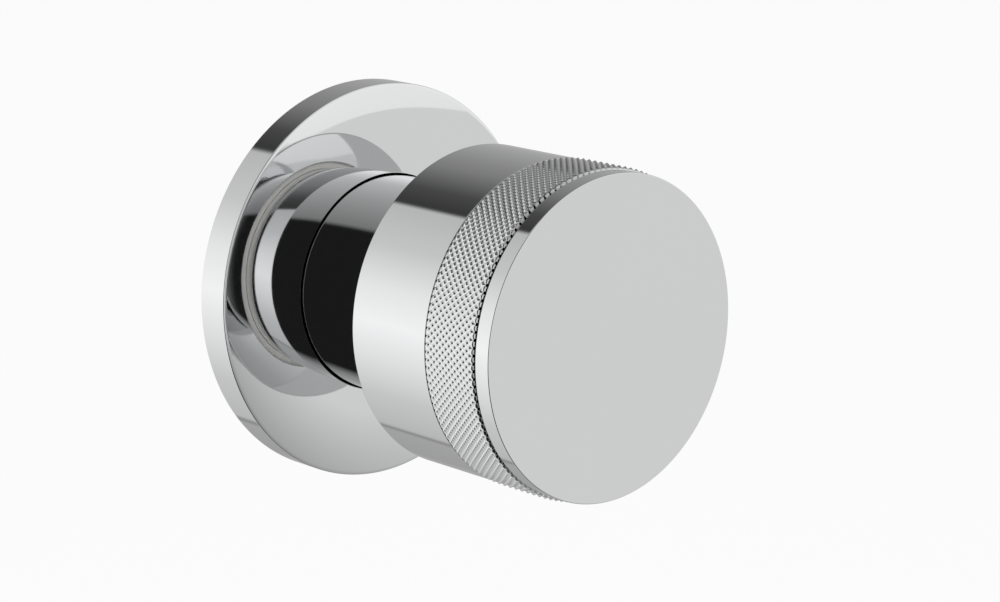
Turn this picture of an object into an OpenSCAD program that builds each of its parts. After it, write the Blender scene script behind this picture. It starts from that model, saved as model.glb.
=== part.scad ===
// Concealed stop valve: the trim in front of the tiles and the quarter-turn headwork inside it.
// The valve's axis is level. Outward from the wall is -Y and up is +Z.
// The origin is on the axis, in the plane of the finished wall.
// Each piece is drawn about its own Z axis, with Z as the distance out from the wall.

/* [Rose] */
// Diameter of the wall rose
rose_d = 70; // [66:0.5:86]
// Height of the rose's rim in front of the wall
rose_rim_h = 6.2; // [5.4:0.1:8]
// Rise of the crowned face above the rim
rose_crown = 1.1; // [0.4:0.1:2]
// Radius at which the face starts to fall towards the rim
rose_flat_r = 20; // [19:0.5:24]
// Wall of the rim around the gasket
rose_rim_wall = 1.6; // [1.2:0.1:2.4]
// Thickness of the rose's front wall at the rim
rose_face_t = 1.8; // [1.4:0.1:2.4]
// Wall of the collar around the sleeve
rose_collar_wall = 3.6; // [3.2:0.1:4.5]
// Chamfer on the rose's front edge
rose_edge = 0.3; // [0.1:0.05:0.6]
// Gap all round between rose and sleeve
rose_sleeve_gap = 0.25; // [0.15:0.05:0.4]
// Width of the wall gasket
gasket_w = 4; // [3:0.5:5]
// Thickness of the wall gasket
gasket_t = 2; // [1.4:0.1:2.6]

/* [Sleeve] */
// Outer diameter of the sleeve
sleeve_d = 38.1; // [37:0.1:40]
// Wall of the sleeve
sleeve_wall = 2; // [1.6:0.1:2.4]
// Reach of the sleeve behind the wall plane
sleeve_back = 3; // [1:0.5:5]
// Gap between the sleeve's end and the knob's web
sleeve_end_gap = 0.4; // [0.3:0.1:0.8]
// Cord thickness of the rings on the sleeve
sleeve_ring_t = 1.8; // [1.5:0.1:2]

/* [Sleeve carrier] */
// Gap all round between carrier and sleeve
carrier_gap = 0.1; // [0.05:0.01:0.2]
// Thickness of the carrier's web
carrier_web_t = 2.6; // [2:0.1:3]
// Wall of the carrier's hub on the barrel
carrier_hub_wall = 2.2; // [1.6:0.1:2.6]
// Wall of the carrier's rim under its grooves
carrier_rim_wall = 1.6; // [1.2:0.1:2]
// Distance from the carrier's ends to the middle of its grooves
carrier_ring_inset = 2.7; // [2.4:0.1:3]

/* [Knob] */
// Diameter of the drum
knob_d = 55.3; // [54:0.1:60]
// Distance from the wall to the back of the knob
knob_back = 31.1; // [30:0.1:40]
// Length of the plain part of the drum
drum_len = 18.1; // [16:0.1:26]
// Depth of the recess that takes the sleeve
recess_depth = 5; // [4:0.1:6]
// Gap all round between recess and sleeve
recess_gap = 0.4; // [0.3:0.05:0.6]
// Thickness of the web under the screw
web_t = 5.8; // [5:0.1:7]
// Radius of the spigot that carries the knurled ring
spigot_r = 25; // [24.4:0.1:25.4]
// Radius of the bore behind the cap
cap_bore_r = 21.5; // [20:0.1:22]
// Chamfer on the edges of the drum and the cap
knob_edge = 0.3; // [0.1:0.05:0.5]
// Wall of the plastic ring that runs on the sleeve
glide_ring_t = 1.5; // [1.2:0.1:2]
// Set-in of that ring at the knob's back
glide_ring_inset = 0.5; // [0.3:0.1:1]
// Shoulder between that ring and the web
glide_ring_land = 0.5; // [0.3:0.1:1]

/* [Knurl] */
// Length of the knurled band
knurl_w = 11.2; // [8:0.2:13]
// Distance from diamond to diamond around the band
knurl_pitch = 1.29; // [1.25:0.01:2.4]
// Angle between the grooves and the axis
knurl_angle = 42.5; // [36:0.5:50]
// Depth of the grooves
knurl_depth = 0.45; // [0.2:0.05:0.5]
// Height of the diamonds' tips above the drum
knurl_proud = 0.3; // [0:0.05:0.5]

/* [Front cap] */
// Dark gap between knurl and cap
cap_gap = 0.5; // [0.3:0.1:1]
// Height of the cap's rim
cap_rim_h = 3; // [2.2:0.1:5]
// Step from the drum's side in to the cap's side
cap_step = 0.3; // [0:0.05:0.6]
// Length of the cap's plug in the knob
cap_plug_len = 6; // [5:0.1:7]
// Wall of the cap's plug
cap_plug_wall = 3.2; // [3:0.1:4]
// Gap all round between plug and bore
cap_plug_gap = 0.15; // [0.1:0.05:0.3]
// Cord thickness of the cap's ring
cap_ring_t = 1.8; // [1.5:0.1:2]

/* [Headwork] */
// Distance of the flange's seat in front of the wall plane
headwork_out = 1; // [0.5:0.5:2]
// Outer diameter of the headwork's thread
thread_d = 20.955; // [20.6:0.005:21.2]
// Length from the flange to the end of the thread
thread_len = 12; // [10:0.5:14]
// Depth of the undercut between thread and flange
undercut_depth = 1; // [0.6:0.1:1.4]
// Diameter of the disc cage
cage_d = 18.2; // [18:0.1:18.8]
// Length of the disc cage behind the thread
cage_len = 12; // [11.5:0.1:13]
// Diameter of the bore that holds the discs
cage_bore_d = 15.4; // [15:0.1:15.8]
// Depth of that bore inside the thread
cage_bore_in = 1; // [0.5:0.1:1.5]
// Width of the windows that let the water out
window_w = 8; // [6:0.5:9]
// Diameter of the flange that seats on the valve
flange_d = 25; // [24:0.5:27]
// Thickness of that flange
flange_t = 1.5; // [1.2:0.1:2]
// Hexagon across its flats
hex_af = 19; // [18.5:0.5:20]
// Height of the hexagon
hex_h = 4.5; // [4:0.1:5.5]
// Diameter of the barrel in front of the hexagon
barrel_d = 17.5; // [17:0.1:18]
// Length of that barrel
barrel_len = 10; // [9:0.1:11]
// Cord thickness of the ring under the flange
flange_ring_t = 1.6; // [1.4:0.1:1.8]

/* [Discs and seat] */
// Thickness of each ceramic disc
disc_t = 3; // [2.6:0.1:3.2]
// Gap all round between the turning disc and the cage
disc_gap = 0.08; // [0.05:0.01:0.1]
// Film of water between the two discs
disc_film = 0.05; // [0.02:0.01:0.1]
// Inner radius of the ports
port_r_in = 1.8; // [1.6:0.1:2.2]
// Outer radius of the ports
port_r_out = 5.6; // [5:0.1:6]
// Angle that each port spans
port_angle = 70; // [50:1:76]
// Thickness of the seat ring
seat_t = 2; // [1.6:0.1:2.4]
// Reach of the seat ring out of the cage
seat_proud = 0.8; // [0.4:0.1:1]
// Opening of the seat ring
seat_hole_d = 12; // [11:0.5:13]

/* [Spindle] */
// Diameter of the spindle in its bore
spindle_d = 10; // [9.6:0.1:10.4]
// Running gap all round the spindle
running_gap = 0.08; // [0.04:0.01:0.1]
// Diameter of the spindle behind its collar
spindle_neck_d = 7; // [6:0.1:8]
// Thickness of the spindle's collar
collar_t = 1.4; // [1.2:0.1:1.8]
// Thickness of the low-friction washer
glide_washer_t = 0.5; // [0.4:0.1:0.8]
// Gap all round the collar and the drive plate
collar_gap = 0.3; // [0.2:0.05:0.4]
// Thickness of the drive plate
drive_plate_t = 1.5; // [1.2:0.1:1.8]
// Width of the drive tab
drive_tab_w = 2.2; // [1.8:0.1:2.2]
// Length of the drive tab across the disc
drive_tab_len = 10; // [8:0.1:11]
// Height of the drive tab
drive_tab_h = 1.2; // [0.8:0.1:1.4]
// Cord thickness of the rings on the spindle
spindle_ring_t = 1.5; // [1.3:0.1:1.6]
// Distance from the end of the bore to the first ring
spindle_ring_start = 5; // [3:0.5:7]
// Distance between the two rings
spindle_ring_pitch = 4; // [3:0.5:6]
// Diameter over the spline's teeth
spline_d = 8; // [7.6:0.1:8.2]
// Depth of the spline's teeth
spline_depth = 0.5; // [0.3:0.05:0.6]
// Number of teeth on the spline
spline_teeth = 20; // [16:1:24]
// Length of the spline
spline_len = 11; // [9:0.5:11.5]

/* [Quarter turn] */
// Angle that the knob turns
turn_angle = 90; // [80:1:100]
// Angle that the stop's lug spans
lug_angle = 40; // [30:1:50]
// Free angle at each end of the turn
stop_slack = 1.5; // [1:0.5:3]
// Diameter of the stop washer without its lug
stop_washer_d = 12.6; // [12:0.1:13]
// Thickness of the stop washer
stop_washer_t = 2; // [1.6:0.1:2.4]
// Gap between the stop washer and the body
stop_gap = 0.1; // [0.05:0.05:0.2]
// Gap between the stop washer and the wall around it
stop_wall_gap = 0.5; // [0.3:0.1:0.7]
// Thickness of the circlip
circlip_t = 1; // [0.8:0.1:1.2]
// Depth of the circlip's groove
circlip_groove = 0.5; // [0.3:0.05:0.6]

/* [Handle fixing] */
// Hexagon of the handle adaptor across its flats
adaptor_af = 13; // [12.5:0.1:14]
// Diameter of the adaptor's tail
adaptor_tail_d = 14; // [13:0.1:15]
// Reach of the tail beyond the spline
adaptor_tail_over = 1; // [0.5:0.5:2]
// Diameter of the adaptor's flange
adaptor_flange_d = 20; // [18:0.5:22]
// Thickness of the adaptor's flange
adaptor_flange_t = 2; // [1.6:0.1:2.6]
// Thickness of the adaptor's end under the screw
adaptor_end_t = 3; // [2.5:0.1:3.5]
// Gap between spline and socket
spline_gap = 0.05; // [0.03:0.01:0.1]
// Diameter of the handle screw's thread
screw_d = 5; // [4.6:0.1:5.2]
// Length of the handle screw under its head
screw_len = 16; // [14:0.5:18]
// Gap all round the screw in its clearance holes
screw_gap = 0.25; // [0.15:0.05:0.4]
// Diameter of the screw's head
screw_head_d = 8.5; // [8:0.1:9]
// Height of the screw's head
screw_head_h = 5; // [4:0.1:5.5]
// Hexagon socket of the screw across its flats
screw_socket_af = 4; // [3:0.1:4.5]
// Depth of that socket
screw_socket_depth = 2.5; // [2:0.1:3]
// Diameter of the washer under the head
screw_washer_d = 18; // [16:0.5:20]
// Thickness of that washer
screw_washer_t = 1; // [0.8:0.1:1.4]

/* [Hidden] */
$fn = 96;

chrome_colour = [0.80, 0.81, 0.83];
brass_colour = [0.80, 0.66, 0.36];
rubber_colour = [0.10, 0.10, 0.11];
ceramic_colour = [0.93, 0.92, 0.88];
plastic_colour = [0.90, 0.90, 0.88];
steel_colour = [0.62, 0.63, 0.65];

// How far a cut runs past the face that it opens
past = 1;
// Play along the axis between a ring of cord and its groove, on each side
groove_play = 0.1;
// Play at the end of a piece that must not bottom out
end_play = 0.3;

// Sleeve and rose
sleeve_r = sleeve_d / 2;
sleeve_bore_r = sleeve_r - sleeve_wall;
rose_r = rose_d / 2;
rose_hole_r = sleeve_r + rose_sleeve_gap;
rose_collar_r = rose_hole_r + rose_collar_wall;
rose_face_h = rose_rim_h + rose_crown;
rose_fall = rose_r - rose_edge - rose_flat_r;
rose_arc_r = (rose_fall ^ 2 + rose_crown ^ 2) / (2 * rose_crown);
gasket_r_out = rose_r - rose_rim_wall;
gasket_r_in = gasket_r_out - gasket_w;
rose_cavity_h = rose_rim_h - rose_face_t;
rose_seal_h = rose_cavity_h;
rose_groove_half = sleeve_ring_t / 2 + groove_play;
rose_collar_back = rose_seal_h - sleeve_ring_t;

// Knob, from its back to its front
knob_r = knob_d / 2;
web_back = knob_back + recess_depth;
web_front = web_back + web_t;
knurl_start = knob_back + drum_len;
knurl_end = knurl_start + knurl_w;
cap_seat = knurl_end + cap_gap;
cap_front = cap_seat + cap_rim_h;
cap_r = knob_r - cap_step;
plug_r = cap_bore_r - cap_plug_gap;
plug_bore_r = plug_r - cap_plug_wall;
plug_back = cap_seat - cap_plug_len;
cap_seal_h = cap_seat - cap_plug_len / 2;
sleeve_front = web_back - sleeve_end_gap;
recess_r = sleeve_r + recess_gap;
glide_ring_r = sleeve_r + running_gap;
glide_ring_back = knob_back + glide_ring_inset;
glide_ring_front = web_back - glide_ring_land;

// Knurl
knurl_starts = round(2 * PI * knob_r / knurl_pitch);
knurl_rows = 2 * round(knurl_w * tan(knurl_angle) / knurl_pitch);
knurl_tip_r = knob_r + knurl_proud;
knurl_root_r = knurl_tip_r - knurl_depth;

// Headwork body
thread_r = thread_d / 2;
flange_back = headwork_out;
flange_front = flange_back + flange_t;
hex_front = flange_front + hex_h;
barrel_front = hex_front + barrel_len;
barrel_r = barrel_d / 2;
thread_back = flange_back - thread_len;
undercut_r = thread_r - undercut_depth;
undercut_back = flange_back - flange_ring_t - 4 * groove_play;
cage_r = cage_d / 2;
cage_bore_r = cage_bore_d / 2;
cage_back = thread_back - cage_len;
bore_step = thread_back + cage_bore_in;

// Sleeve carrier on the barrel
carrier_r = sleeve_bore_r - carrier_gap;
carrier_groove_r = sleeve_bore_r - sleeve_ring_t;
carrier_rim_r = carrier_groove_r - carrier_rim_wall;
carrier_hub_r = barrel_r + carrier_hub_wall;
carrier_rings = [hex_front + carrier_ring_inset, barrel_front - carrier_ring_inset];

// Discs and the inner end of the spindle
seat_back = cage_back - seat_proud;
fixed_disc_back = seat_back + seat_t;
moving_disc_back = fixed_disc_back + disc_t + disc_film;
moving_disc_front = moving_disc_back + disc_t;
moving_disc_r = cage_bore_r - disc_gap;
drive_tab_back = moving_disc_front - drive_tab_h;
drive_plate_front = moving_disc_front + drive_plate_t;
collar_r = cage_bore_r - collar_gap;
collar_front = bore_step - glide_washer_t - disc_film;
collar_back = collar_front - collar_t;
window_back = moving_disc_front + end_play;

// Spindle and stop
spindle_r = spindle_d / 2;
spindle_bore_r = spindle_r + running_gap;
spindle_groove_r = spindle_bore_r - running_gap / 2 - spindle_ring_t;
spindle_groove_half = spindle_ring_t / 2 + groove_play;
spindle_rings = [bore_step + spindle_ring_start, bore_step + spindle_ring_start + spindle_ring_pitch];
spline_r = spline_d / 2;
spline_root_r = spline_r - spline_depth;
spindle_flat_r = spline_r + groove_play;
stop_back = barrel_front + stop_gap;
stop_front = stop_back + stop_washer_t;
stop_washer_r = stop_washer_d / 2;
stop_wall_r = stop_washer_r + stop_wall_gap;
stop_wall_front = stop_front + stop_gap;
lug_r = barrel_r - end_play;
lug_start = 90 - lug_angle / 2;
slot_start = lug_start - stop_slack;
slot_span = turn_angle + lug_angle + 2 * stop_slack;
clip_front = stop_front + circlip_t;
clip_groove_r = spindle_flat_r - circlip_groove;
clip_r = stop_washer_r - end_play;
shoulder_front = clip_front + circlip_t;

// Handle fixing, from the knob's web back to the spindle
adaptor_front = web_front - end_play;
socket_front = adaptor_front - adaptor_end_t;
spindle_front = socket_front - end_play;
spline_back = spindle_front - spline_len;
adaptor_back = spline_back - adaptor_tail_over;
screw_r = screw_d / 2;
screw_seat = web_front + screw_washer_t;
screw_tip = screw_seat - screw_len;
screw_hole_back = screw_tip - screw_d / 4;
screw_clear_r = screw_r + screw_gap;

// Puts a piece that is drawn along Z on the valve's axis, its back at a distance from the wall
module out_from_wall(back) {
    rotate([90, 0, 0]) translate([0, 0, back]) children();
}

// Turns a profile of radius and distance from the wall about the axis
module turned(profile) {
    out_from_wall(0) rotate_extrude() polygon(profile);
}

// Plain tube between two radii and two distances from the wall
module tube(r_in, r_out, back, front) {
    turned([[r_in, back], [r_out, back], [r_out, front], [r_in, front]]);
}

// Plain round rod between two distances from the wall
module rod(r, back, front) {
    out_from_wall(back) cylinder(r = r, h = front - back);
}

// Ring of round cord
module cord_ring(r_in, cord_t, middle) {
    out_from_wall(middle) rotate_extrude() translate([r_in + cord_t / 2, 0]) circle(d = cord_t, $fn = 48);
}

// Square-sided groove cut in from outside a shaft
module outer_groove(r_bottom, r_shaft, middle, half) {
    tube(r_bottom, r_shaft + past, middle - half, middle + half);
}

// Flat wedge from the axis that reaches past a radius, spanning less than half a turn
module wedge(reach, start, span) {
    far = 1.2 * reach / cos(span / 2);
    polygon([[0, 0], far * [cos(start), sin(start)], far * [cos(start + span / 2), sin(start + span / 2)],
             far * [cos(start + span), sin(start + span)]]);
}

// Hexagon by its size across the flats
module hexagon(across_flats) {
    circle(d = across_flats / cos(30), $fn = 6);
}

// Two ports that face each other, the first in the given direction
module ports(direction) {
    for (side = [0, 180]) intersection() {
        difference() {
            circle(r = port_r_out);
            circle(r = port_r_in);
        }
        wedge(port_r_out, direction + side - port_angle / 2, port_angle);
    }
}

// Section of the spline, grown by a gap for its socket
module spline_section(gap) {
    tooth = 360 / spline_teeth;
    root = spline_root_r + gap;
    tip = spline_r + gap;
    corners = [[root, 0], [root, 0.3], [tip, 0.42], [tip, 0.88]];
    polygon([for (n = [0:spline_teeth - 1], corner = corners)
        let (angle = tooth * (n + corner[1])) corner[0] * [cos(angle), sin(angle)]]);
}

// Round with two flats, for the seat of the stop washer
module two_flats() {
    intersection() {
        circle(r = spindle_r);
        square([2 * spindle_r + past, 2 * spindle_flat_r], center = true);
    }
}

// Wall plate with a rim that wraps the gasket, a collar for the sleeve and a softly crowned face
module rose() {
    color(chrome_colour) difference() {
        out_from_wall(0) rotate_extrude() intersection() {
            polygon([[rose_hole_r, rose_collar_back], [rose_collar_r, rose_collar_back],
                     [rose_collar_r, rose_cavity_h], [gasket_r_in, rose_cavity_h], [gasket_r_in, gasket_t],
                     [gasket_r_out, gasket_t], [gasket_r_out, 0], [rose_r, 0], [rose_r, rose_rim_h - rose_edge],
                     [rose_r - rose_edge, rose_rim_h], [rose_r - rose_edge, rose_face_h],
                     [rose_hole_r, rose_face_h]]);
            union() {
                square([rose_flat_r, rose_face_h]);
                translate([rose_flat_r, rose_face_h - rose_arc_r]) circle(r = rose_arc_r, $fn = 1440);
            }
        }
        tube(rose_hole_r - past, sleeve_r + sleeve_ring_t, rose_seal_h - rose_groove_half,
             rose_seal_h + rose_groove_half);
    }
}

module rose_gasket() {
    color(rubber_colour) tube(gasket_r_in, gasket_r_out, 0, gasket_t);
}

module rose_seal() {
    color(rubber_colour) cord_ring(sleeve_r, sleeve_ring_t, rose_seal_h);
}

module sleeve() {
    color(chrome_colour) tube(sleeve_bore_r, sleeve_r, -sleeve_back, sleeve_front);
}

// Ring on the headwork's barrel that the sleeve slides on, so that it can follow the depth of the tiles
module sleeve_carrier() {
    color(brass_colour) difference() {
        turned([[barrel_r, hex_front], [carrier_r, hex_front], [carrier_r, barrel_front],
                [carrier_rim_r, barrel_front], [carrier_rim_r, hex_front + carrier_web_t],
                [carrier_hub_r, hex_front + carrier_web_t], [carrier_hub_r, barrel_front - carrier_hub_wall],
                [barrel_r, barrel_front - carrier_hub_wall]]);
        for (middle = carrier_rings)
            outer_groove(carrier_groove_r, carrier_r, middle, sleeve_ring_t / 2 + groove_play);
    }
}

module carrier_seals() {
    color(rubber_colour) for (middle = carrier_rings) cord_ring(carrier_groove_r, sleeve_ring_t, middle);
}

// Cage for the discs, thread, flange, hexagon, barrel and the wall that stops the lug
module headwork_body() {
    color(brass_colour) difference() {
        union() {
            turned([[0, cage_back], [cage_r, cage_back], [cage_r, thread_back], [thread_r, thread_back],
                    [thread_r, undercut_back], [undercut_r, undercut_back], [undercut_r, flange_back],
                    [flange_d / 2, flange_back], [flange_d / 2, flange_front], [barrel_r, flange_front],
                    [barrel_r, stop_wall_front], [0, stop_wall_front]]);
            out_from_wall(flange_front) linear_extrude(hex_h) hexagon(hex_af);
        }
        turned([[0, cage_back - past], [cage_bore_r, cage_back - past], [cage_bore_r, bore_step],
                [spindle_bore_r, bore_step], [spindle_bore_r, barrel_front], [stop_wall_r, barrel_front],
                [stop_wall_r, stop_wall_front + past], [0, stop_wall_front + past]]);
        out_from_wall(barrel_front) linear_extrude(stop_wall_front) wedge(barrel_r, slot_start, slot_span);
        out_from_wall(window_back) linear_extrude(collar_back - window_back)
            square([2 * (cage_r + past), window_w], center = true);
    }
}

module headwork_seal() {
    color(rubber_colour) cord_ring(undercut_r, flange_ring_t, flange_back - flange_ring_t / 2);
}

module glide_washer() {
    color(plastic_colour) tube(spindle_bore_r, cage_bore_r, bore_step - glide_washer_t, bore_step);
}

module fixed_disc() {
    color(ceramic_colour) out_from_wall(fixed_disc_back) linear_extrude(disc_t) difference() {
        circle(r = cage_bore_r);
        ports(0);
    }
}

module seat_seal() {
    color(rubber_colour) tube(seat_hole_d / 2, cage_bore_r, seat_back, fixed_disc_back);
}

// Drive plate with its tab, neck, collar, sealed shaft, seat for the stop washer, clip groove and spline
module spindle() {
    color(brass_colour) difference() {
        union() {
            out_from_wall(drive_tab_back) linear_extrude(drive_tab_h + drive_plate_t / 2)
                square([drive_tab_len, drive_tab_w], center = true);
            out_from_wall(moving_disc_front) linear_extrude(drive_plate_t) difference() {
                circle(r = collar_r);
                ports(90);
            }
            rod(spindle_neck_d / 2, drive_plate_front, collar_back);
            rod(collar_r, collar_back, collar_front);
            rod(spindle_r, collar_front, stop_back);
            out_from_wall(stop_back) linear_extrude(stop_washer_t) two_flats();
            rod(clip_groove_r, stop_front, clip_front);
            rod(spindle_flat_r, clip_front, shoulder_front);
            rod(spline_root_r, shoulder_front, spline_back);
            out_from_wall(spline_back) linear_extrude(spline_len) spline_section(0);
        }
        for (middle = spindle_rings) outer_groove(spindle_groove_r, spindle_r, middle, spindle_groove_half);
        rod(screw_r, screw_hole_back, spindle_front + past);
    }
}

module spindle_seals() {
    color(rubber_colour) for (middle = spindle_rings) cord_ring(spindle_groove_r, spindle_ring_t, middle);
}

module moving_disc() {
    color(ceramic_colour) difference() {
        out_from_wall(moving_disc_back) linear_extrude(disc_t) difference() {
            circle(r = moving_disc_r);
            ports(90);
        }
        out_from_wall(drive_tab_back) linear_extrude(drive_tab_h + past)
            square([drive_tab_len, drive_tab_w], center = true);
    }
}

module stop_washer() {
    color(steel_colour) out_from_wall(stop_back) linear_extrude(stop_washer_t) difference() {
        union() {
            circle(r = stop_washer_r);
            intersection() {
                circle(r = lug_r);
                wedge(lug_r, lug_start, lug_angle);
            }
        }
        two_flats();
    }
}

module circlip() {
    color(steel_colour) out_from_wall(stop_front) linear_extrude(circlip_t) difference() {
        circle(r = clip_r);
        circle(r = clip_groove_r);
        wedge(clip_r, -125, 70);
    }
}

// Hexagon that drives the knob, with a splined socket behind it and a clearance hole for the screw
module handle_adaptor() {
    color(brass_colour) difference() {
        union() {
            rod(adaptor_tail_d / 2, adaptor_back, web_back);
            rod(adaptor_flange_d / 2, web_back - adaptor_flange_t, web_back);
            out_from_wall(web_back) linear_extrude(adaptor_front - web_back) hexagon(adaptor_af);
        }
        out_from_wall(adaptor_back - past) linear_extrude(socket_front - adaptor_back + past)
            spline_section(spline_gap);
        rod(screw_clear_r, socket_front - past, adaptor_front + past);
    }
}

module handle_screw() {
    color(steel_colour) difference() {
        union() {
            rod(screw_r, screw_tip, screw_seat);
            rod(screw_head_d / 2, screw_seat, screw_seat + screw_head_h);
        }
        out_from_wall(screw_seat + screw_head_h - screw_socket_depth) linear_extrude(screw_socket_depth + past)
            hexagon(screw_socket_af);
    }
}

module screw_washer() {
    color(steel_colour) tube(screw_clear_r, screw_washer_d / 2, web_front, screw_seat);
}

// Drum with a recess for the sleeve at its back, a web, a bore for the cap and a spigot for the knurled ring
module knob() {
    color(chrome_colour) difference() {
        turned([[0, web_back], [recess_r, web_back], [recess_r, glide_ring_front],
                [glide_ring_r + glide_ring_t, glide_ring_front], [glide_ring_r + glide_ring_t, knob_back],
                [knob_r - knob_edge, knob_back], [knob_r, knob_back + knob_edge], [knob_r, knurl_start],
                [spigot_r, knurl_start], [spigot_r, cap_seat], [cap_bore_r, cap_seat],
                [cap_bore_r, web_front], [0, web_front]]);
        out_from_wall(web_back - past) linear_extrude(web_t + 2 * past) hexagon(adaptor_af);
    }
}

module glide_ring() {
    color(plastic_colour) tube(glide_ring_r, glide_ring_r + glide_ring_t, glide_ring_back, glide_ring_front);
}

// Diamond knurl: in each row tips and groove crossings take turns, and they change places from row to row.
// The first and last row lie in the grooves, so that the band ends in half diamonds.
module knurled_ring() {
    steps = 2 * knurl_starts;
    bore_r = spigot_r / cos(180 / steps);
    function around(r, step, z) = [r * cos(360 * step / steps), r * sin(360 * step / steps), z];
    function is_tip(row, step) = (row + step) % 2 == 0;
    function surface_r(row, step) =
        is_tip(row, step) && row > 0 && row < knurl_rows ? knurl_tip_r : knurl_root_r;
    outside = [for (row = [0:knurl_rows], step = [0:steps - 1])
        around(surface_r(row, step), step, row * knurl_w / knurl_rows)];
    bore = [for (z = [0, knurl_w], step = [0:steps - 1]) around(bore_r, step, z)];
    function out(row, step) = row * steps + step % steps;
    function inn(end, step) = (knurl_rows + 1 + end) * steps + step % steps;
    // Every square between four points folds along the line that joins its two groove crossings
    diamonds = [for (row = [0:knurl_rows - 1], step = [0:steps - 1])
        let (a = out(row, step), b = out(row + 1, step), c = out(row + 1, step + 1), d = out(row, step + 1))
        each is_tip(row, step) ? [[a, b, d], [b, c, d]] : [[a, b, c], [a, c, d]]];
    rest = [for (step = [0:steps - 1]) each [
        [inn(0, step + 1), inn(1, step + 1), inn(1, step), inn(0, step)],
        [out(0, step), out(0, step + 1), inn(0, step + 1), inn(0, step)],
        [out(knurl_rows, step + 1), out(knurl_rows, step), inn(1, step), inn(1, step + 1)]]];
    color(chrome_colour) out_from_wall(knurl_start)
        polyhedron(points = concat(outside, bore), faces = concat(diamonds, rest));
}

// Disc that closes the knob's front, with a plug and a ring of cord that grip the bore
module front_cap() {
    color(chrome_colour) difference() {
        turned([[0, cap_seat], [plug_bore_r, cap_seat], [plug_bore_r, plug_back], [plug_r, plug_back],
                [plug_r, cap_seat], [cap_r, cap_seat], [cap_r, cap_front - knob_edge],
                [cap_r - knob_edge, cap_front], [0, cap_front]]);
        outer_groove(cap_bore_r - cap_ring_t, plug_r, cap_seal_h, cap_ring_t / 2 + groove_play);
    }
}

module cap_seal() {
    color(rubber_colour) cord_ring(cap_bore_r - cap_ring_t, cap_ring_t, cap_seal_h);
}

rose();
rose_gasket();
rose_seal();
sleeve();
sleeve_carrier();
carrier_seals();
headwork_body();
headwork_seal();
glide_washer();
fixed_disc();
seat_seal();
spindle();
spindle_seals();
moving_disc();
stop_washer();
circlip();
handle_adaptor();
handle_screw();
screw_washer();
knob();
glide_ring();
knurled_ring();
front_cap();
cap_seal();
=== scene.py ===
"""Chromed concealed stop valve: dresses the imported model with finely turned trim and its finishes."""
import math

import bpy
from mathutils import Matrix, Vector


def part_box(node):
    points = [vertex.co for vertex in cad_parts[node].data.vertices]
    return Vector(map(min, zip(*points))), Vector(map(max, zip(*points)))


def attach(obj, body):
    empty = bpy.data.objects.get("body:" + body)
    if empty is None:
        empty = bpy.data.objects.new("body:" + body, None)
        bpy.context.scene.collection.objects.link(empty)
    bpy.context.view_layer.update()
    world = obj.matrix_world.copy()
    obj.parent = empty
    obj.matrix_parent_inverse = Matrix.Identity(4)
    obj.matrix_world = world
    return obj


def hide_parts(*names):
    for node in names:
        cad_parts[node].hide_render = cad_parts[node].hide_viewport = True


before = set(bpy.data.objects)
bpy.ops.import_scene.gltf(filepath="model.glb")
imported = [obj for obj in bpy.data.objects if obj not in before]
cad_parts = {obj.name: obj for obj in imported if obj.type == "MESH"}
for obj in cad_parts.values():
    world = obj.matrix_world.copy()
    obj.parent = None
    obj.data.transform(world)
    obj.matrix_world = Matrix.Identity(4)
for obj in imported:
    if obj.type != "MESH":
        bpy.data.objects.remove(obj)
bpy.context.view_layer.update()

bl_info = {
    "name": "Concealed stop valve",
    "version": (1, 0, 0),
    "blender": (4, 5, 0),
    "location": "3D View > Sidebar > Stop valve",
    "description": "Builds the trim of a concealed stop valve, its finishes and a plain studio",
    "category": "Add Mesh",
}

WALL_BODY = "wall_parts"
KNOB_BODY = "knob_parts"
MM = 0.001


def radius_of(node):
    """Outer radius of a round node."""
    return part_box(node)[1].x


def back_of(node):
    """Distance from the wall to the node's back."""
    return -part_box(node)[1].y


def front_of(node):
    """Distance from the wall to the node's front."""
    return -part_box(node)[0].y


def length_property(words, default, low=0.0):
    return bpy.props.FloatProperty(name=words[0], description=words[1], default=default, min=low, unit="LENGTH",
                                   subtype="DISTANCE", precision=5)


def colour_property(words, default):
    return bpy.props.FloatVectorProperty(name=words[0], description=words[1], default=default, min=0.0, max=1.0,
                                         size=3, subtype="COLOR")


def share_property(words, default, high=1.0):
    return bpy.props.FloatProperty(name=words[0], description=words[1], default=default, min=0.0, max=high,
                                   subtype="FACTOR")


class RoseSizes(bpy.types.PropertyGroup):
    """Sizes of the wall rose and of the sleeve that comes out of it."""

    radius: length_property(("Radius", "Outer radius of the rose"), radius_of("rose"))
    face: length_property(("Face", "Distance from the wall to the flat middle of the face"), front_of("rose"))
    rim: length_property(("Rim", "Height of the rim at the rose's edge"), 6.2 * MM)
    flat: length_property(("Flat radius", "Radius at which the face starts to fall"), 20 * MM)
    edge: length_property(("Front edge", "Width of the soft edge between rim and face"), 0.3 * MM)
    hole_gap: length_property(("Hole gap", "Gap between the rose and the sleeve"), 0.25 * MM)
    collar: length_property(("Collar wall", "Wall of the collar around the sleeve"), 3.6 * MM)
    wall: length_property(("Front wall", "Thickness of the front wall at the rim"), 1.8 * MM)
    gasket_width: length_property(("Gasket width", "Width of the ledge that holds the gasket"), 4 * MM)
    cord: length_property(("Seal", "Cord thickness of the ring around the sleeve"), 1.8 * MM)
    sleeve_wall: length_property(("Sleeve wall", "Wall of the sleeve"), 2 * MM)


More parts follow.
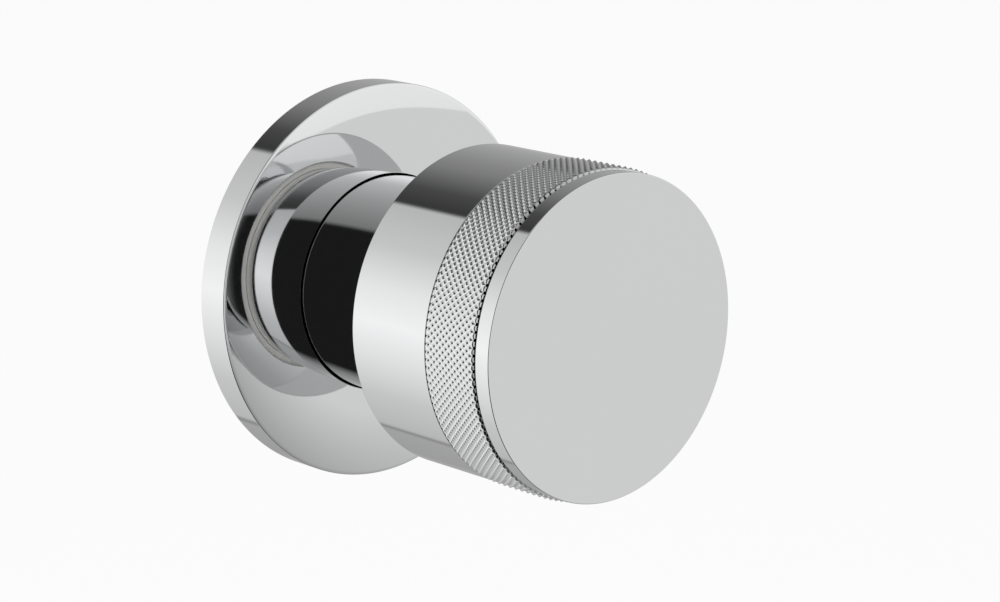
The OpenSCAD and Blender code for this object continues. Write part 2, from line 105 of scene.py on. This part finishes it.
class KnobSizes(bpy.types.PropertyGroup):
    """Sizes of the drum, its knurled band and the cap."""

    radius: length_property(("Radius", "Outer radius of the drum"), radius_of("knob"))
    spigot: length_property(("Spigot", "Radius of the spigot that carries the knurled band"), 25 * MM)
    bore: length_property(("Bore", "Radius of the bore behind the cap"), 21.5 * MM)
    recess_gap: length_property(("Recess gap", "Gap between the recess and the sleeve"), 0.4 * MM)
    edge: length_property(("Edges", "Width of the soft edges of drum and cap"), 0.3 * MM)
    tip: length_property(("Diamond tips", "Radius over the tips of the knurl"), radius_of("knurled_ring"))
    depth: length_property(("Knurl depth", "Depth of the knurl's grooves"), 0.45 * MM)
    around: bpy.props.IntProperty(name="Diamonds around", description="Diamonds in one ring of the band",
                                  default=135, min=12, max=400)
    along: bpy.props.IntProperty(name="Diamonds along", description="Diamonds along the band", default=8, min=1,
                                 max=20)
    plug_gap: length_property(("Plug gap", "Gap between the cap's plug and the bore"), 0.15 * MM)
    plug_wall: length_property(("Plug wall", "Wall of the cap's plug"), 3.2 * MM)
    plug_length: length_property(("Plug length", "Length of the cap's plug"), 6 * MM)
    cap_cord: length_property(("Cap seal", "Cord thickness of the cap's ring"), 1.8 * MM)


class ValveFinishes(bpy.types.PropertyGroup):
    """Colours and gloss of the valve's materials."""

    chrome: colour_property(("Chrome", "Colour of the polished chrome"), (0.875, 0.88, 0.885))
    chrome_haze: share_property(("Chrome haze", "Roughness of the polished chrome"), 0.035)
    brass: colour_property(("Brass", "Colour of the turned brass"), (0.78, 0.60, 0.30))
    rubber: colour_property(("Rubber", "Colour of the seals"), (0.022, 0.022, 0.024))
    ceramic: colour_property(("Ceramic", "Colour of the lapped discs"), (0.86, 0.84, 0.79))
    plastic: colour_property(("Plastic", "Colour of the running rings"), (0.82, 0.81, 0.78))
    steel: colour_property(("Steel", "Colour of the screw, washers and clip"), (0.56, 0.57, 0.59))


class StudioSettings(bpy.types.PropertyGroup):
    """Camera, floor and light levels."""

    camera_turn: bpy.props.FloatProperty(name="Turn", description="Camera's turn to the left of the front",
                                         default=math.radians(42.53), subtype="ANGLE")
    camera_rise: bpy.props.FloatProperty(name="Rise", description="Camera's angle above the level",
                                         default=math.radians(13.40), subtype="ANGLE")
    camera_place: bpy.props.FloatVectorProperty(name="Place", description="Where the camera stands",
                                                default=(-0.32205, -0.38795, 0.11517), size=3,
                                                subtype="TRANSLATION", unit="LENGTH")
    lens: bpy.props.FloatProperty(name="Lens", description="Focal length in millimetres", default=104.61, min=10)
    floor_drop: length_property(("Floor", "Distance from the valve's axis down to the floor"), 0.8)
    fill: share_property(("Fill", "Level of the even light from all around"), 0.75, 2.0)


# Mesh helpers


def softened(corners):
    """Turns corners of (radius, distance out, rounding) into the points of an outline with rounded corners.

    Each arc gets a point close before and after it, so that the flats beside it stay flat in their shading.
    """
    points = []
    for n, (r, out, rounding) in enumerate(corners):
        here = Vector((r, out))
        if rounding <= 0:
            points.append(here)
            continue
        before = (Vector(corners[n - 1][:2]) - here).normalized()
        after = (Vector(corners[(n + 1) % len(corners)][:2]) - here).normalized()
        half = before.angle(after) / 2
        reach = rounding / math.tan(half)
        middle = here + (before + after).normalized() * (rounding / math.sin(half))
        start, end = here + before * reach, here + after * reach
        points.append(start + before * rounding * 0.15)
        from_middle, to_middle = start - middle, end - middle
        turn = from_middle.angle_signed(to_middle)
        steps = 8
        for step in range(steps + 1):
            swing = -turn * step / steps
            c, s = math.cos(swing), math.sin(swing)
            points.append(middle + Vector((from_middle.x * c - from_middle.y * s,
                                           from_middle.x * s + from_middle.y * c)))
        points.append(end + after * rounding * 0.15)
    return points


def add_piece(name, vertices, faces, body, nodes, material, slot, sharp=35):
    """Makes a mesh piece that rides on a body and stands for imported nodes."""
    mesh = bpy.data.meshes.new(name)
    mesh.from_pydata(vertices, [], faces)
    mesh.validate()
    for polygon in mesh.polygons:
        polygon.use_smooth = True
    mesh.set_sharp_from_angle(angle=math.radians(sharp))
    mesh.materials.append(material)
    piece = bpy.data.objects.new(name, mesh)
    bpy.context.scene.collection.objects.link(piece)
    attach(piece, body)
    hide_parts(*nodes)
    return piece


def turned(outline, segments=360):
    """Vertices and faces of a closed outline of (radius, distance out), turned about the valve's axis.

    The outline runs outwards along its inner side and comes back along its outer side, or the other way round;
    the faces are set to point out of the solid either way.
    """
    vertices, rings = [], []
    for r, out in outline:
        if r < 1e-7:
            rings.append([len(vertices)] * segments)
            vertices.append((0.0, -out, 0.0))
            continue
        rings.append(list(range(len(vertices), len(vertices) + segments)))
        for step in range(segments):
            angle = 2 * math.pi * step / segments
            vertices.append((r * math.cos(angle), -out, r * math.sin(angle)))
    area = sum(a[0] * b[1] - b[0] * a[1] for a, b in zip(outline, [*outline[1:], outline[0]]))
    faces = []
    for n in range(len(rings)):
        a, b = rings[n], rings[(n + 1) % len(rings)]
        for step in range(segments):
            after = (step + 1) % segments
            face = [a[step], a[after], b[after], b[step]]
            face = [v for k, v in enumerate(face) if v != face[k - 1]]
            if len(face) > 2:
                faces.append(face if area > 0 else face[::-1])
    return vertices, faces


# Finishes


def node(tree, kind, place=(0, 0), **settings):
    made = tree.nodes.new(kind)
    made.location = place
    for key, value in settings.items():
        setattr(made, key, value)
    return made


def maths(tree, operation, *inputs, place=(0, 0)):
    """A Math node; numbers are set on its sockets and sockets are linked to them."""
    made = node(tree, "ShaderNodeMath", place, operation=operation)
    for n, value in enumerate(inputs):
        if isinstance(value, (int, float)):
            made.inputs[n].default_value = value
        else:
            tree.links.new(value, made.inputs[n])
    return made.outputs[0]


def group_tree(name, inputs, outputs):
    """An empty shader node group with float sockets."""
    tree = bpy.data.node_groups.new(name, "ShaderNodeTree")
    for label, default in inputs:
        socket = tree.interface.new_socket(label, in_out="INPUT", socket_type="NodeSocketFloat")
        socket.default_value = default
    for label in outputs:
        tree.interface.new_socket(label, in_out="OUTPUT", socket_type="NodeSocketFloat")
    return tree, node(tree, "NodeGroupInput", (-900, 0)), node(tree, "NodeGroupOutput", (700, 0))


def hazed_surface():
    """Group: a roughness that drifts between two values in soft patches, with fine specks on top."""
    name = "hazed surface"
    if name in bpy.data.node_groups:
        return bpy.data.node_groups[name]
    tree, given, result = group_tree(name, [("Low", 0.1), ("High", 0.2), ("Patches per metre", 60.0)],
                                     ["Roughness", "Patches"])
    place = node(tree, "ShaderNodeTexCoord", (-900, -250))
    patches = node(tree, "ShaderNodeTexNoise", (-500, 0))
    patches.inputs["Detail"].default_value = 3.0
    patches.inputs["Roughness"].default_value = 0.6
    tree.links.new(place.outputs["Object"], patches.inputs["Vector"])
    tree.links.new(given.outputs["Patches per metre"], patches.inputs["Scale"])
    specks = node(tree, "ShaderNodeTexNoise", (-500, -300))
    specks.inputs["Scale"].default_value = 2600.0
    tree.links.new(place.outputs["Object"], specks.inputs["Vector"])
    mixed = maths(tree, "ADD", maths(tree, "MULTIPLY", patches.outputs["Fac"], 0.8, place=(-250, 0)),
                  maths(tree, "MULTIPLY", specks.outputs["Fac"], 0.2, place=(-250, -200)), place=(-50, 0))
    spread = node(tree, "ShaderNodeMapRange", (300, 0))
    spread.inputs["From Min"].default_value = 0.3
    spread.inputs["From Max"].default_value = 0.7
    tree.links.new(mixed, spread.inputs["Value"])
    tree.links.new(given.outputs["Low"], spread.inputs["To Min"])
    tree.links.new(given.outputs["High"], spread.inputs["To Max"])
    tree.links.new(spread.outputs["Result"], result.inputs["Roughness"])
    tree.links.new(mixed, result.inputs["Patches"])
    return tree


def turning_marks():
    """Group: the fine rings that a lathe leaves, round the axis on faces and along it on sides."""
    name = "turning marks"
    if name in bpy.data.node_groups:
        return bpy.data.node_groups[name]
    tree, given, result = group_tree(name, [("Rings per metre", 9000.0)], ["Height"])
    place = node(tree, "ShaderNodeTexCoord", (-900, -250))
    split = node(tree, "ShaderNodeSeparateXYZ", (-700, -250))
    tree.links.new(place.outputs["Object"], split.inputs["Vector"])
    radius = maths(tree, "SQRT", maths(
        tree, "ADD", maths(tree, "MULTIPLY", split.outputs["X"], split.outputs["X"], place=(-500, -200)),
        maths(tree, "MULTIPLY", split.outputs["Z"], split.outputs["Z"], place=(-500, -350)), place=(-350, -250)),
        place=(-200, -250))
    along = maths(tree, "ADD", radius, maths(tree, "MULTIPLY", split.outputs["Y"], 1.37, place=(-350, -450)),
                  place=(-50, -300))
    rings = node(tree, "ShaderNodeTexNoise", (300, -200), noise_dimensions="1D")
    rings.inputs["Detail"].default_value = 2.0
    tree.links.new(maths(tree, "MULTIPLY", along, given.outputs["Rings per metre"], place=(120, -250)),
                   rings.inputs["W"])
    rings.inputs["Scale"].default_value = 1.0
    tree.links.new(rings.outputs["Fac"], result.inputs["Height"])
    return tree


def finish_material(name, colour, low, high, metallic=0.0, marks=0.0, marks_size=0.00001, patches=60.0,
                    rings=9000.0, coat=0.0, colour_drift=0.04):
    """A Principled material whose roughness, tone and relief come from the shared groups."""
    if name in bpy.data.materials:
        return bpy.data.materials[name]
    material = bpy.data.materials.new(name)
    material.use_nodes = True
    tree = material.node_tree
    tree.nodes.clear()
    output = node(tree, "ShaderNodeOutputMaterial", (600, 0))
    shader = node(tree, "ShaderNodeBsdfPrincipled", (300, 0))
    shader.inputs["Metallic"].default_value = metallic
    shader.inputs["Coat Weight"].default_value = coat
    tree.links.new(shader.outputs["BSDF"], output.inputs["Surface"])
    haze = node(tree, "ShaderNodeGroup", (-300, 100), node_tree=hazed_surface())
    haze.inputs["Low"].default_value = low
    haze.inputs["High"].default_value = high
    haze.inputs["Patches per metre"].default_value = patches
    tree.links.new(haze.outputs["Roughness"], shader.inputs["Roughness"])
    tone = node(tree, "ShaderNodeMix", (0, 200), data_type="RGBA")
    tree.links.new(haze.outputs["Patches"], tone.inputs["Factor"])
    tone.inputs["A"].default_value = (*[c * (1 - colour_drift) for c in colour], 1)
    tone.inputs["B"].default_value = (*[min(1.0, c * (1 + colour_drift)) for c in colour], 1)
    tree.links.new(tone.outputs["Result"], shader.inputs["Base Color"])
    if marks > 0:
        lathe = node(tree, "ShaderNodeGroup", (-300, -200), node_tree=turning_marks())
        lathe.inputs["Rings per metre"].default_value = rings
        bump = node(tree, "ShaderNodeBump", (0, -200))
        bump.inputs["Strength"].default_value = marks
        bump.inputs["Distance"].default_value = marks_size
        tree.links.new(lathe.outputs["Height"], bump.inputs["Height"])
        tree.links.new(bump.outputs["Normal"], shader.inputs["Normal"])
    return material


def chrome():
    finishes = bpy.context.scene.valve_finishes
    haze = finishes.chrome_haze
    return finish_material("polished chrome", finishes.chrome, haze * 0.7, haze * 1.4, metallic=1.0, marks=0.02,
                           marks_size=0.000002, patches=45.0, rings=5000.0, colour_drift=0.006)


def redress(nodes, material):
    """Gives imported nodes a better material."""
    for name in nodes:
        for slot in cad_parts[name].material_slots:
            slot.material = material


# Pieces


class VALVE_OT_rose(bpy.types.Operator):
    """Turn the wall rose: rim, crowned face, collar and the ledge for its gasket"""

    bl_idname = "valve.rose"
    bl_label = "Wall rose"

    def execute(self, context):
        size = context.scene.rose_sizes
        hole = radius_of("sleeve") + size.hole_gap
        ledge = radius_of("rose_gasket")
        cavity = size.rim - size.wall
        if not hole + size.collar < ledge - size.gasket_width < ledge < size.radius:
            raise ValueError("the rose is too small for its collar and gasket")
        crown = size.face - size.rim
        fall = size.radius - size.edge - size.flat
        arc = (fall ** 2 + crown ** 2) / (2 * crown)
        steps = 40
        face = []
        for step in range(steps + 1):
            reach = fall * step / steps
            face.append((size.flat + reach, size.face - arc + math.sqrt(arc ** 2 - reach ** 2), 0))
        groove = front_of("rose_seal") - size.cord / 2
        half = size.cord / 2 + 0.1 * MM
        deep = radius_of("sleeve") + size.cord
        small = 0.12 * MM
        corners = [(hole, groove + half, 0), (deep, groove + half, 0), (deep, groove - half, 0),
                   (hole, groove - half, 0), (hole, groove - size.cord, small),
                   (hole + size.collar, groove - size.cord, small), (hole + size.collar, cavity, 0),
                   (ledge - size.gasket_width, cavity, 0), (ledge - size.gasket_width, front_of("rose_gasket"), 0),
                   (ledge, front_of("rose_gasket"), 0), (ledge, 0, small), (size.radius, 0, small),
                   (size.radius, size.rim - size.edge * 0.3, size.edge * 0.5)]
        corners += face[::-1] + [(hole, size.face, small)]
        add_piece("rose_plate", *turned(softened(corners)), WALL_BODY, ["rose"], chrome(), "chrome")
        return {"FINISHED"}


class VALVE_OT_sleeve(bpy.types.Operator):
    """Turn the plain sleeve between rose and knob"""

    bl_idname = "valve.sleeve"
    bl_label = "Sleeve"

    def execute(self, context):
        outer = radius_of("sleeve")
        inner = outer - context.scene.rose_sizes.sleeve_wall
        back, front = back_of("sleeve"), front_of("sleeve")
        edge = 0.25 * MM
        corners = [(inner, back, edge), (outer, back, edge), (outer, front, edge), (inner, front, edge)]
        add_piece("neck_sleeve", *turned(softened(corners)), WALL_BODY, ["sleeve"], chrome(), "chrome")
        return {"FINISHED"}


class VALVE_OT_drum(bpy.types.Operator):
    """Turn the knob's drum with its recess, web, bore and spigot"""

    bl_idname = "valve.drum"
    bl_label = "Knob drum"

    def execute(self, context):
        size = context.scene.knob_sizes
        if not size.bore < size.spigot < size.radius:
            raise ValueError("the knob needs bore, spigot and drum in growing order")
        back, front = back_of("knob"), front_of("knob")
        ring, ring_front = radius_of("glide_ring"), front_of("glide_ring")
        recess = radius_of("sleeve") + size.recess_gap
        web_back, web_front = front_of("sleeve") + 0.4 * MM, back_of("screw_washer")
        band = back_of("knurled_ring")
        across = 6.5 * MM / math.cos(math.pi / 6)
        small = 0.1 * MM
        corners = [(across, web_back, 0), (recess, web_back, 0), (recess, ring_front, 0), (ring, ring_front, 0),
                   (ring, back, small), (size.radius, back, size.edge), (size.radius, band, small),
                   (size.spigot, band, 0), (size.spigot, front, small), (size.bore, front, small),
                   (size.bore, web_front, 0), (across, web_front, 0)]
        add_piece("knob_drum", *turned(softened(corners)), KNOB_BODY, ["knob"], chrome(), "chrome")
        return {"FINISHED"}


class VALVE_OT_knurl(bpy.types.Operator):
    """Cut the diamond knurl with softened tips and groove floors"""

    bl_idname = "valve.knurl"
    bl_label = "Knurled band"

    def execute(self, context):
        size = context.scene.knob_sizes
        start, end = back_of("knurled_ring"), front_of("knurled_ring")
        fine = 8
        columns, rows = size.around * fine, size.along * fine
        soft = 0.985

        def ridge(place):
            return 1 - math.acos(soft * math.cos(math.pi * place)) / math.pi

        def height(column, row):
            p, q = 2 * (column + row) / fine, 2 * (column - row) / fine
            a, b = ridge(p), ridge(q)
            blend = 0.06
            pull = max(blend - abs(a - b), 0) / blend
            tip = min(a, b) - pull * pull * blend / 4
            return min(tip, 2 * row / fine, 2 * (rows - row) / fine)

        heights = [[height(column, row) for column in range(fine)] for row in range(rows + 1)]
        vertices = []
        for row in range(rows + 1):
            out = start + (end - start) * row / rows
            for column in range(columns):
                r = size.tip - size.depth * (1 - heights[row][column % fine])
                angle = 2 * math.pi * column / columns
                vertices.append((r * math.cos(angle), -out, r * math.sin(angle)))
        faces = []
        for row in range(rows):
            for column in range(columns):
                after = (column + 1) % columns
                a, b = row * columns, (row + 1) * columns
                faces.append((a + column, b + column, b + after, a + after))
        inner = len(vertices)
        for out in (start, end):
            for column in range(columns):
                angle = 2 * math.pi * column / columns
                vertices.append((size.spigot * math.cos(angle), -out, size.spigot * math.sin(angle)))
        last = rows * columns
        for column in range(columns):
            after = (column + 1) % columns
            faces.append((column, after, inner + after, inner + column))
            faces.append((last + after, last + column, inner + columns + column, inner + columns + after))
            faces.append((inner + column, inner + after, inner + columns + after, inner + columns + column))
        add_piece("knurled_band", vertices, faces, KNOB_BODY, ["knurled_ring"], chrome(), "chrome", sharp=60)
        return {"FINISHED"}


class VALVE_OT_cap(bpy.types.Operator):
    """Turn the plain front cap with its plug"""

    bl_idname = "valve.cap"
    bl_label = "Front cap"

    def execute(self, context):
        size = context.scene.knob_sizes
        radius, front = radius_of("front_cap"), front_of("front_cap")
        seat, plug_back = front_of("knob"), back_of("front_cap")
        plug = size.bore - size.plug_gap
        middle = seat - size.plug_length / 2
        half = size.cap_cord / 2 + 0.1 * MM
        small = 0.1 * MM
        corners = [(0, seat, 0), (plug - size.plug_wall, seat, 0), (plug - size.plug_wall, plug_back, small),
                   (plug, plug_back, small), (plug, middle - half, 0), (size.bore - size.cap_cord, middle - half, 0),
                   (size.bore - size.cap_cord, middle + half, 0), (plug, middle + half, 0), (plug, seat, 0),
                   (radius, seat, small), (radius, front, size.edge * 0.5), (0, front, 0)]
        add_piece("front_disc", *turned(softened(corners)), KNOB_BODY, ["front_cap"], chrome(), "chrome")
        return {"FINISHED"}


class VALVE_OT_seals(bpy.types.Operator):
    """Give gasket, cord rings and seat their rubber"""

    bl_idname = "valve.seals"
    bl_label = "Seals"

    def execute(self, context):
        finishes = context.scene.valve_finishes
        rubber = finish_material("seal rubber", finishes.rubber, 0.5, 0.75, marks=0.15, marks_size=0.00002,
                                 patches=120.0, rings=2500.0, colour_drift=0.2)
        redress(["rose_gasket", "rose_seal", "carrier_seals", "headwork_seal", "seat_seal", "spindle_seals",
                 "cap_seal"], rubber)
        return {"FINISHED"}


class VALVE_OT_headwork(bpy.types.Operator):
    """Give the headwork and the handle's fixing their brass, ceramic, plastic and steel"""

    bl_idname = "valve.headwork"
    bl_label = "Headwork"

    def execute(self, context):
        finishes = context.scene.valve_finishes
        brass = finish_material("turned brass", finishes.brass, 0.16, 0.3, metallic=1.0, marks=0.25,
                                marks_size=0.00001, patches=80.0, rings=7000.0, colour_drift=0.06)
        ceramic = finish_material("lapped ceramic", finishes.ceramic, 0.12, 0.22, patches=200.0, coat=0.1,
                                  colour_drift=0.03)
        plastic = finish_material("running plastic", finishes.plastic, 0.35, 0.5, marks=0.08, marks_size=0.00002,
                                  rings=3000.0, colour_drift=0.03)
        steel = finish_material("plain steel", finishes.steel, 0.22, 0.38, metallic=1.0, marks=0.2,
                                marks_size=0.00001, patches=90.0, rings=6000.0, colour_drift=0.05)
        redress(["headwork_body", "sleeve_carrier", "spindle", "handle_adaptor"], brass)
        redress(["fixed_disc", "moving_disc"], ceramic)
        redress(["glide_washer", "glide_ring"], plastic)
        redress(["stop_washer", "circlip", "handle_screw", "screw_washer"], steel)
        return {"FINISHED"}


# Studio


def ramp(tree, factor, stops, place):
    """A ramp of grey levels by angle, in degrees."""
    made = node(tree, "ShaderNodeValToRGB", place)
    tree.links.new(factor, made.inputs["Fac"])
    elements = made.color_ramp.elements
    while len(elements) > 1:
        elements.remove(elements[0])
    for n, (angle, level) in enumerate(stops):
        element = elements[0] if n == 0 else elements.new(angle / 360)
        element.position = angle / 360
        element.color = (level, level, level, 1)
    return made.outputs["Color"]


def light_tent_material():
    """Emission of the tent by direction: one pattern behind the valve and one in front of it."""
    material = bpy.data.materials.new("light tent")
    material.use_nodes = True
    tree = material.node_tree
    tree.nodes.clear()
    output = node(tree, "ShaderNodeOutputMaterial", (1200, 0))
    glow = node(tree, "ShaderNodeEmission", (1000, 0))
    tree.links.new(glow.outputs["Emission"], output.inputs["Surface"])
    place = node(tree, "ShaderNodeNewGeometry", (-1200, 0))
    direction = node(tree, "ShaderNodeVectorMath", (-1000, 0), operation="NORMALIZE")
    tree.links.new(place.outputs["Position"], direction.inputs[0])
    split = node(tree, "ShaderNodeSeparateXYZ", (-800, 0))
    tree.links.new(direction.outputs[0], split.inputs["Vector"])
    x, y, z = (split.outputs[k] for k in "XYZ")
    around = maths(tree, "FRACT", maths(tree, "MULTIPLY", maths(tree, "ARCTAN2", z, x, place=(-600, 200)),
                                        1 / (2 * math.pi), place=(-450, 200)), place=(-300, 200))
    rear = ramp(tree, around, [(0, 0.42), (30, 0.33), (60, 0.22), (85, 0.07), (101, 0.04), (104, 0.52), (135, 0.62),
                               (165, 0.88), (190, 1.0), (215, 0.84), (245, 0.62), (275, 0.52), (278, 0.25),
                               (281, 0.40), (310, 0.36), (335, 0.45)], (-50, 300))
    front = ramp(tree, around, [(0, 0.85), (14, 0.90), (40, 0.56), (75, 0.38), (112, 0.22), (117, 0.012),
                                (276, 0.012), (290, 0.25), (315, 0.42), (332, 0.68)], (-50, 0))
    tilt = maths(tree, "SQRT", maths(tree, "SUBTRACT", 1.0, maths(tree, "MULTIPLY", y, y, place=(-600, -300)),
                                     place=(-450, -300)), place=(-300, -300))
    near_axis = node(tree, "ShaderNodeMapRange", (-50, -300), interpolation_type="SMOOTHSTEP")
    tree.links.new(tilt, near_axis.inputs["Value"])
    near_axis.inputs["From Min"].default_value = 0.15
    near_axis.inputs["From Max"].default_value = 0.5
    behind = node(tree, "ShaderNodeMapRange", (-50, -550), interpolation_type="SMOOTHSTEP")
    tree.links.new(y, behind.inputs["Value"])
    behind.inputs["From Min"].default_value = -0.2
    behind.inputs["From Max"].default_value = 0.2

    def mixed(factor, a, b, place):
        made = node(tree, "ShaderNodeMix", place, data_type="RGBA")
        tree.links.new(factor, made.inputs["Factor"])
        for socket, value in ((made.inputs["A"], a), (made.inputs["B"], b)):
            if isinstance(value, float):
                socket.default_value = (value, value, value, 1)
            else:
                tree.links.new(value, socket)
        return made.outputs["Result"]

    rear_all = mixed(near_axis.outputs["Result"], 0.7, rear, (350, 300))
    front_all = mixed(near_axis.outputs["Result"], 0.75, front, (350, 0))
    tree.links.new(mixed(behind.outputs["Result"], front_all, rear_all, (700, 150)), glow.inputs["Color"])
    return material


def pale_material(name, colour, shown):
    """Matt floor colour that shows as plain white to the camera and in metal, less the shadow on it."""
    material = bpy.data.materials.new(name)
    material.use_nodes = True
    tree = material.node_tree
    tree.nodes.clear()
    output = node(tree, "ShaderNodeOutputMaterial", (600, 0))
    matt = node(tree, "ShaderNodeBsdfDiffuse", (0, 100))
    matt.inputs["Color"].default_value = (colour, colour, colour, 1)
    glow = node(tree, "ShaderNodeEmission", (0, -100))
    path = node(tree, "ShaderNodeLightPath", (-400, 300))
    seen = maths(tree, "MINIMUM", maths(tree, "ADD", maths(
        tree, "ADD", path.outputs["Is Camera Ray"], path.outputs["Is Glossy Ray"], place=(-200, 300)),
        path.outputs["Is Transmission Ray"], place=(-50, 300)), 1.0, place=(100, 300))
    mix = node(tree, "ShaderNodeMixShader", (350, 0))
    tree.links.new(maths(tree, "MULTIPLY", seen, shown, place=(200, 300)), mix.inputs["Fac"])
    tree.links.new(matt.outputs["BSDF"], mix.inputs[1])
    tree.links.new(glow.outputs["Emission"], mix.inputs[2])
    tree.links.new(mix.outputs["Shader"], output.inputs["Surface"])
    return material


def white_world(fill):
    """White to the camera, in metal and through glass, and an even fill for everything else."""
    world = bpy.data.worlds.new("even light")
    bpy.context.scene.world = world
    world.use_nodes = True
    tree = world.node_tree
    tree.nodes.clear()
    output = node(tree, "ShaderNodeOutputWorld", (600, 0))
    background = node(tree, "ShaderNodeBackground", (400, 0))
    background.inputs["Color"].default_value = (1, 1, 1, 1)
    path = node(tree, "ShaderNodeLightPath", (-400, 0))
    seen = maths(tree, "MINIMUM", maths(tree, "ADD", maths(
        tree, "ADD", path.outputs["Is Camera Ray"], path.outputs["Is Glossy Ray"], place=(-200, 0)),
        path.outputs["Is Transmission Ray"], place=(-50, 0)), 1.0, place=(50, 0))
    level = node(tree, "ShaderNodeMapRange", (200, 0))
    tree.links.new(seen, level.inputs["Value"])
    level.inputs["To Min"].default_value = fill
    level.inputs["To Max"].default_value = 1.0
    tree.links.new(level.outputs["Result"], background.inputs["Strength"])
    tree.links.new(background.outputs["Background"], output.inputs["Surface"])


class VALVE_OT_studio(bpy.types.Operator):
    """Set up the camera, the pale floor, the light tent and the lamps"""

    bl_idname = "valve.studio"
    bl_label = "Studio"

    def execute(self, context):
        scene = context.scene
        studio = scene.studio_settings
        white_world(studio.fill)
        half = 12.0
        floor = bpy.data.meshes.new("studio_floor")
        floor.from_pydata([(-half, -half, 0), (half, -half, 0), (half, half, 0), (-half, half, 0)], [],
                          [(0, 1, 2, 3)])
        floor.materials.append(pale_material("pale floor", 0.82, 0.9))
        ground = bpy.data.objects.new("studio_floor", floor)
        ground.location.z = -studio.floor_drop
        scene.collection.objects.link(ground)
        ground.visible_glossy = False

        bpy.ops.mesh.primitive_uv_sphere_add(segments=96, ring_count=48, radius=5.0)
        tent = context.object
        tent.name = "light_tent"
        tent.data.materials.append(light_tent_material())
        for ray in ("camera", "diffuse", "transmission", "volume_scatter", "shadow"):
            setattr(tent, "visible_" + ray, False)

        for name, place, energy, size in (("key_lamp", (-0.9, -0.9, 1.3), 14.0, 0.9),
                                          ("side_lamp", (1.2, -0.5, 0.6), 6.0, 0.8),
                                          ("back_lamp", (0.2, 1.3, 0.9), 6.0, 0.8)):
            data = bpy.data.lights.new(name, "AREA")
            data.energy, data.size = energy, size
            lamp = bpy.data.objects.new(name, data)
            lamp.location = place
            lamp.rotation_euler = (-Vector(place)).to_track_quat("-Z", "Y").to_euler()
            lamp.visible_glossy = False
            scene.collection.objects.link(lamp)

        data = bpy.data.cameras.new("camera")
        data.lens, data.sensor_width, data.sensor_fit = studio.lens, 36.0, "HORIZONTAL"
        data.clip_start, data.clip_end = 0.01, 60.0
        camera = bpy.data.objects.new("camera", data)
        turn, rise = -studio.camera_turn, studio.camera_rise
        towards = Vector((math.sin(turn) * math.cos(rise), -math.cos(turn) * math.cos(rise), math.sin(rise)))
        camera.location = studio.camera_place
        camera.rotation_euler = (-towards).to_track_quat("-Z", "Y").to_euler()
        scene.collection.objects.link(camera)
        scene.camera = camera
        scene.view_settings.view_transform = "Standard"
        return {"FINISHED"}


class VALVE_PT_panel(bpy.types.Panel):
    """Lists the valve's pieces and their sizes"""

    bl_label = "Stop valve"
    bl_idname = "VALVE_PT_panel"
    bl_space_type = "VIEW_3D"
    bl_region_type = "UI"
    bl_category = "Stop valve"

    def draw(self, context):
        layout = self.layout
        for group in ("rose_sizes", "knob_sizes", "valve_finishes", "studio_settings"):
            box = layout.box()
            box.label(text=group.replace("_", " ").capitalize())
            holder = getattr(context.scene, group)
            for name in holder.__annotations__:
                box.prop(holder, name)
        for operator in OPERATORS:
            layout.operator(operator.bl_idname)


GROUPS = {"rose_sizes": RoseSizes, "knob_sizes": KnobSizes, "valve_finishes": ValveFinishes,
          "studio_settings": StudioSettings}
OPERATORS = [VALVE_OT_rose, VALVE_OT_sleeve, VALVE_OT_drum, VALVE_OT_knurl, VALVE_OT_cap, VALVE_OT_seals,
             VALVE_OT_headwork, VALVE_OT_studio]
CLASSES = [*GROUPS.values(), *OPERATORS, VALVE_PT_panel]


def register():
    for kind in CLASSES:
        bpy.utils.register_class(kind)
    for name, group in GROUPS.items():
        setattr(bpy.types.Scene, name, bpy.props.PointerProperty(type=group))


def unregister():
    for name in GROUPS:
        delattr(bpy.types.Scene, name)
    for kind in reversed(CLASSES):
        bpy.utils.unregister_class(kind)


def main():
    register()
    for operator in OPERATORS:
        group, name = operator.bl_idname.split(".")
        getattr(getattr(bpy.ops, group), name)()


if __name__ == "__main__":
    main()
